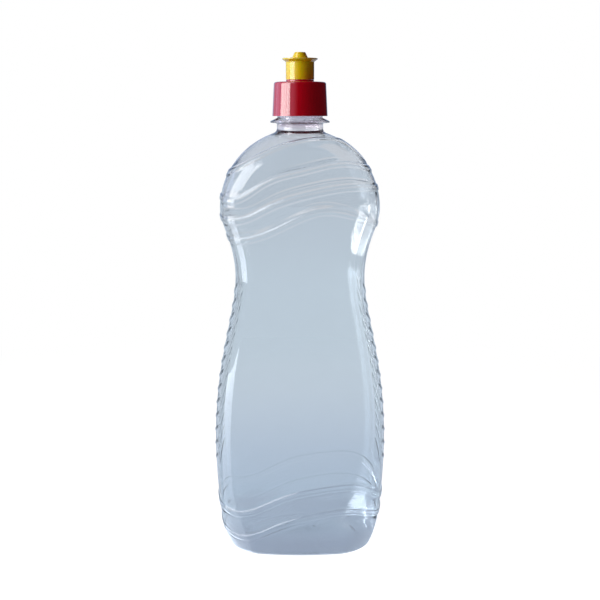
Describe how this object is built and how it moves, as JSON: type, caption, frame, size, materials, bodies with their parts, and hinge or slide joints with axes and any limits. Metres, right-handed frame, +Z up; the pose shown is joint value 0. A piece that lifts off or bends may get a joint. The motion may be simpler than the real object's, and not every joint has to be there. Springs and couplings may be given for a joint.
{
  "type": "dish soap bottle",
  "caption": "Clear blown waisted bottle with wave ridges and side grips, a screw cap and a push-pull nozzle.",
  "frame": {"origin": "on the table, in the middle of the base", "axes": "+Z up along the neck, +X to the right across the wide face, +Y to the back"},
  "size_m": [0.0986, 0.07, 0.2792],
  "materials": {
    "clear_pet": "clear thin-walled blown PET with a faint blue-grey tint",
    "foam": "closed-cell sealing foam",
    "cap_plastic": "glossy moulded polypropylene",
    "nozzle_plastic": "glossy moulded polyethylene"
  },
  "bodies": {
    "bottle": {"bottle": "clear_pet"},
    "seal": {"seal": "foam"},
    "cap": {"cap": "cap_plastic"},
    "nozzle": {"nozzle": "nozzle_plastic"}
  },
  "joints": [
    {"name": "cap_rise", "type": "slide", "parent": "bottle", "child": "seal", "axis": [0, 0, 1], "range_m": [0, 0.00705]},
    {"name": "cap_turn", "type": "hinge", "parent": "seal", "child": "cap", "pos_m": [0, 0, 0.25], "axis": [0, 0, 1], "range_deg": [0, 600]},
    {"name": "nozzle_pull", "type": "slide", "parent": "cap", "child": "nozzle", "axis": [0, 0, 1], "range_m": [0, 0.0055]}
  ],
  "couplings": [
    {"joint": "cap_turn", "follows": "cap_rise", "rad_per_m": 1484.2}
  ]
}
